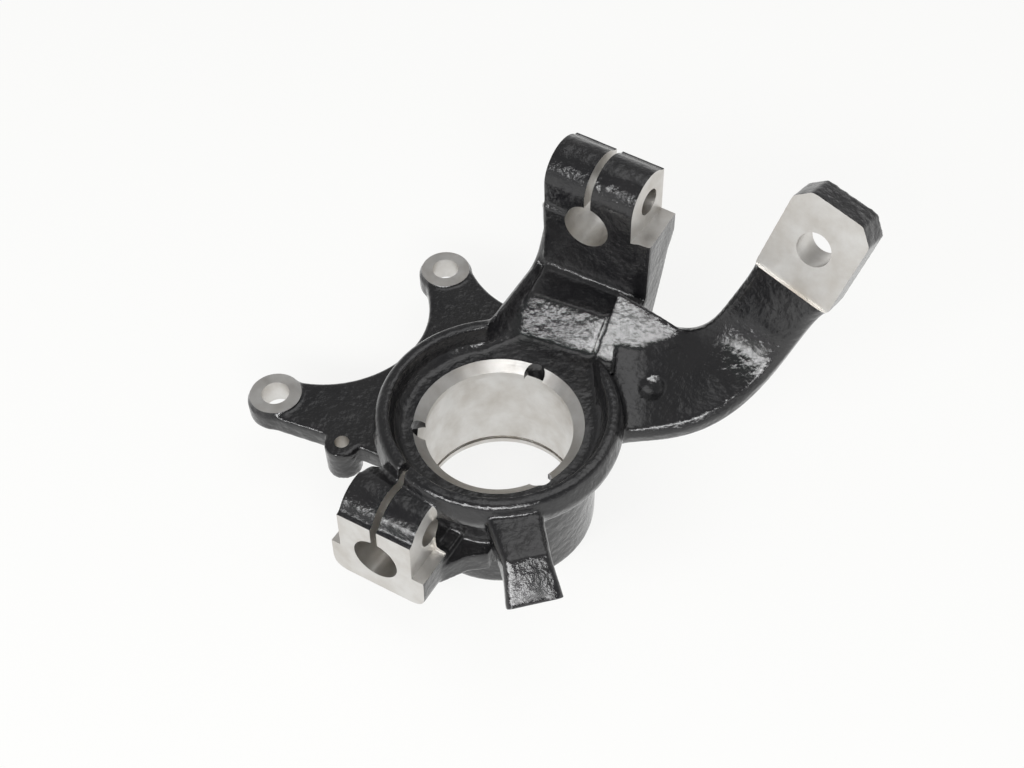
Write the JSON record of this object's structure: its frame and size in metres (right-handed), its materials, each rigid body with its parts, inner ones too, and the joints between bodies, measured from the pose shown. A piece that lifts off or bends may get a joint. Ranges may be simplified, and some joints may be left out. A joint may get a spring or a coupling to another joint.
{
  "type": "steering knuckle",
  "caption": "Cast steering knuckle with a wheel-bearing bore, split clamps for the upper and lower ball joints, a steering arm and a caliper bracket.",
  "frame": {"origin": "on the wheel-bearing axis, in the plane of the outboard end face, which the part rests on", "axes": "+Z along the bearing axis, inboard; +Y from the lower ball-joint clamp to the upper one; +X to the steering-arm side"},
  "size_m": [0.2477, 0.1891, 0.1626],
  "materials": {
    "casting": "glossy black coating over a rough cast skin, with bare machined faces and bores"
  },
  "bodies": {
    "root": {"steering_knuckle": "casting"}
  },
  "joints": []
}
